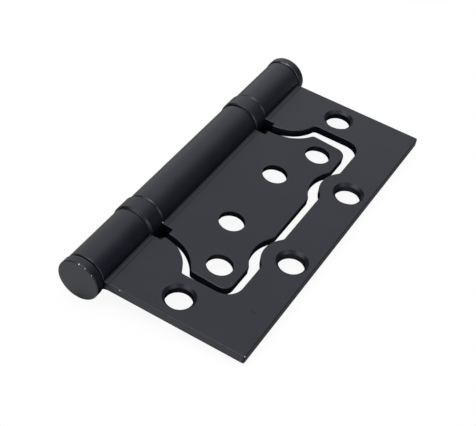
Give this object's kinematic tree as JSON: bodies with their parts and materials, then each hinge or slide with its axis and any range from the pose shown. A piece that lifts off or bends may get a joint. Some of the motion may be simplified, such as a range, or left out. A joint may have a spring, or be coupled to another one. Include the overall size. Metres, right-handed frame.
{
  "type": "door hinge",
  "caption": "Black flush door hinge: an inner leaf nests in the cut-out of the outer leaf and swings on a pin with ball bearing collars and flat end caps.",
  "frame": {"origin": "middle of the underside of the hinge's box, lying with its leaves nested", "axes": "+Y along the pin, +X from the pin to the free edge of the outer leaf, +Z square to the outer leaf, towards its countersunk face"},
  "size_m": [0.0518, 0.1058, 0.0122],
  "materials": {
    "black_coating": "satin black coating on steel",
    "pin_steel": "drawn bright steel",
    "bearing_steel": "ground hardened steel",
    "cage_brass": "stamped brass"
  },
  "bodies": {
    "outer_leaf": {"outer_leaf": "black_coating", "hinge_pin": "pin_steel", "near_end_cap": "black_coating", "near_bearing_collar": "black_coating", "near_bearing_fixed_race": "bearing_steel", "far_end_cap": "black_coating", "far_bearing_collar": "black_coating", "far_bearing_fixed_race": "bearing_steel"},
    "inner_leaf": {"inner_leaf": "black_coating", "near_bearing_turning_race": "bearing_steel", "far_bearing_turning_race": "bearing_steel"},
    "near_ball_ring": {"near_bearing_cage": "cage_brass", "near_bearing_ball_01": "bearing_steel", "near_bearing_ball_02": "bearing_steel", "near_bearing_ball_03": "bearing_steel", "near_bearing_ball_04": "bearing_steel", "near_bearing_ball_05": "bearing_steel", "near_bearing_ball_06": "bearing_steel", "near_bearing_ball_07": "bearing_steel", "near_bearing_ball_08": "bearing_steel", "near_bearing_ball_09": "bearing_steel", "near_bearing_ball_10": "bearing_steel", "near_bearing_ball_11": "bearing_steel"},
    "far_ball_ring": {"far_bearing_cage": "cage_brass", "far_bearing_ball_01": "bearing_steel", "far_bearing_ball_02": "bearing_steel", "far_bearing_ball_03": "bearing_steel", "far_bearing_ball_04": "bearing_steel", "far_bearing_ball_05": "bearing_steel", "far_bearing_ball_06": "bearing_steel", "far_bearing_ball_07": "bearing_steel", "far_bearing_ball_08": "bearing_steel", "far_bearing_ball_09": "bearing_steel", "far_bearing_ball_10": "bearing_steel", "far_bearing_ball_11": "bearing_steel"}
  },
  "joints": [
    {"name": "inner_leaf_swing", "type": "hinge", "parent": "outer_leaf", "child": "inner_leaf", "pos_m": [-0.01978, 0, 0.0061], "axis": [0, -1, 0], "range_deg": [0, 183.6]},
    {"name": "near_ball_ring_turn", "type": "hinge", "parent": "outer_leaf", "child": "near_ball_ring", "pos_m": [-0.01978, 0, 0.0061], "axis": [0, -1, 0], "range_deg": [0, 91.8]},
    {"name": "far_ball_ring_turn", "type": "hinge", "parent": "outer_leaf", "child": "far_ball_ring", "pos_m": [-0.01978, 0, 0.0061], "axis": [0, -1, 0], "range_deg": [0, 91.8]}
  ],
  "couplings": [
    {"joint": "near_ball_ring_turn", "follows": "inner_leaf_swing", "ratio": 0.5},
    {"joint": "far_ball_ring_turn", "follows": "inner_leaf_swing", "ratio": 0.5}
  ]
}
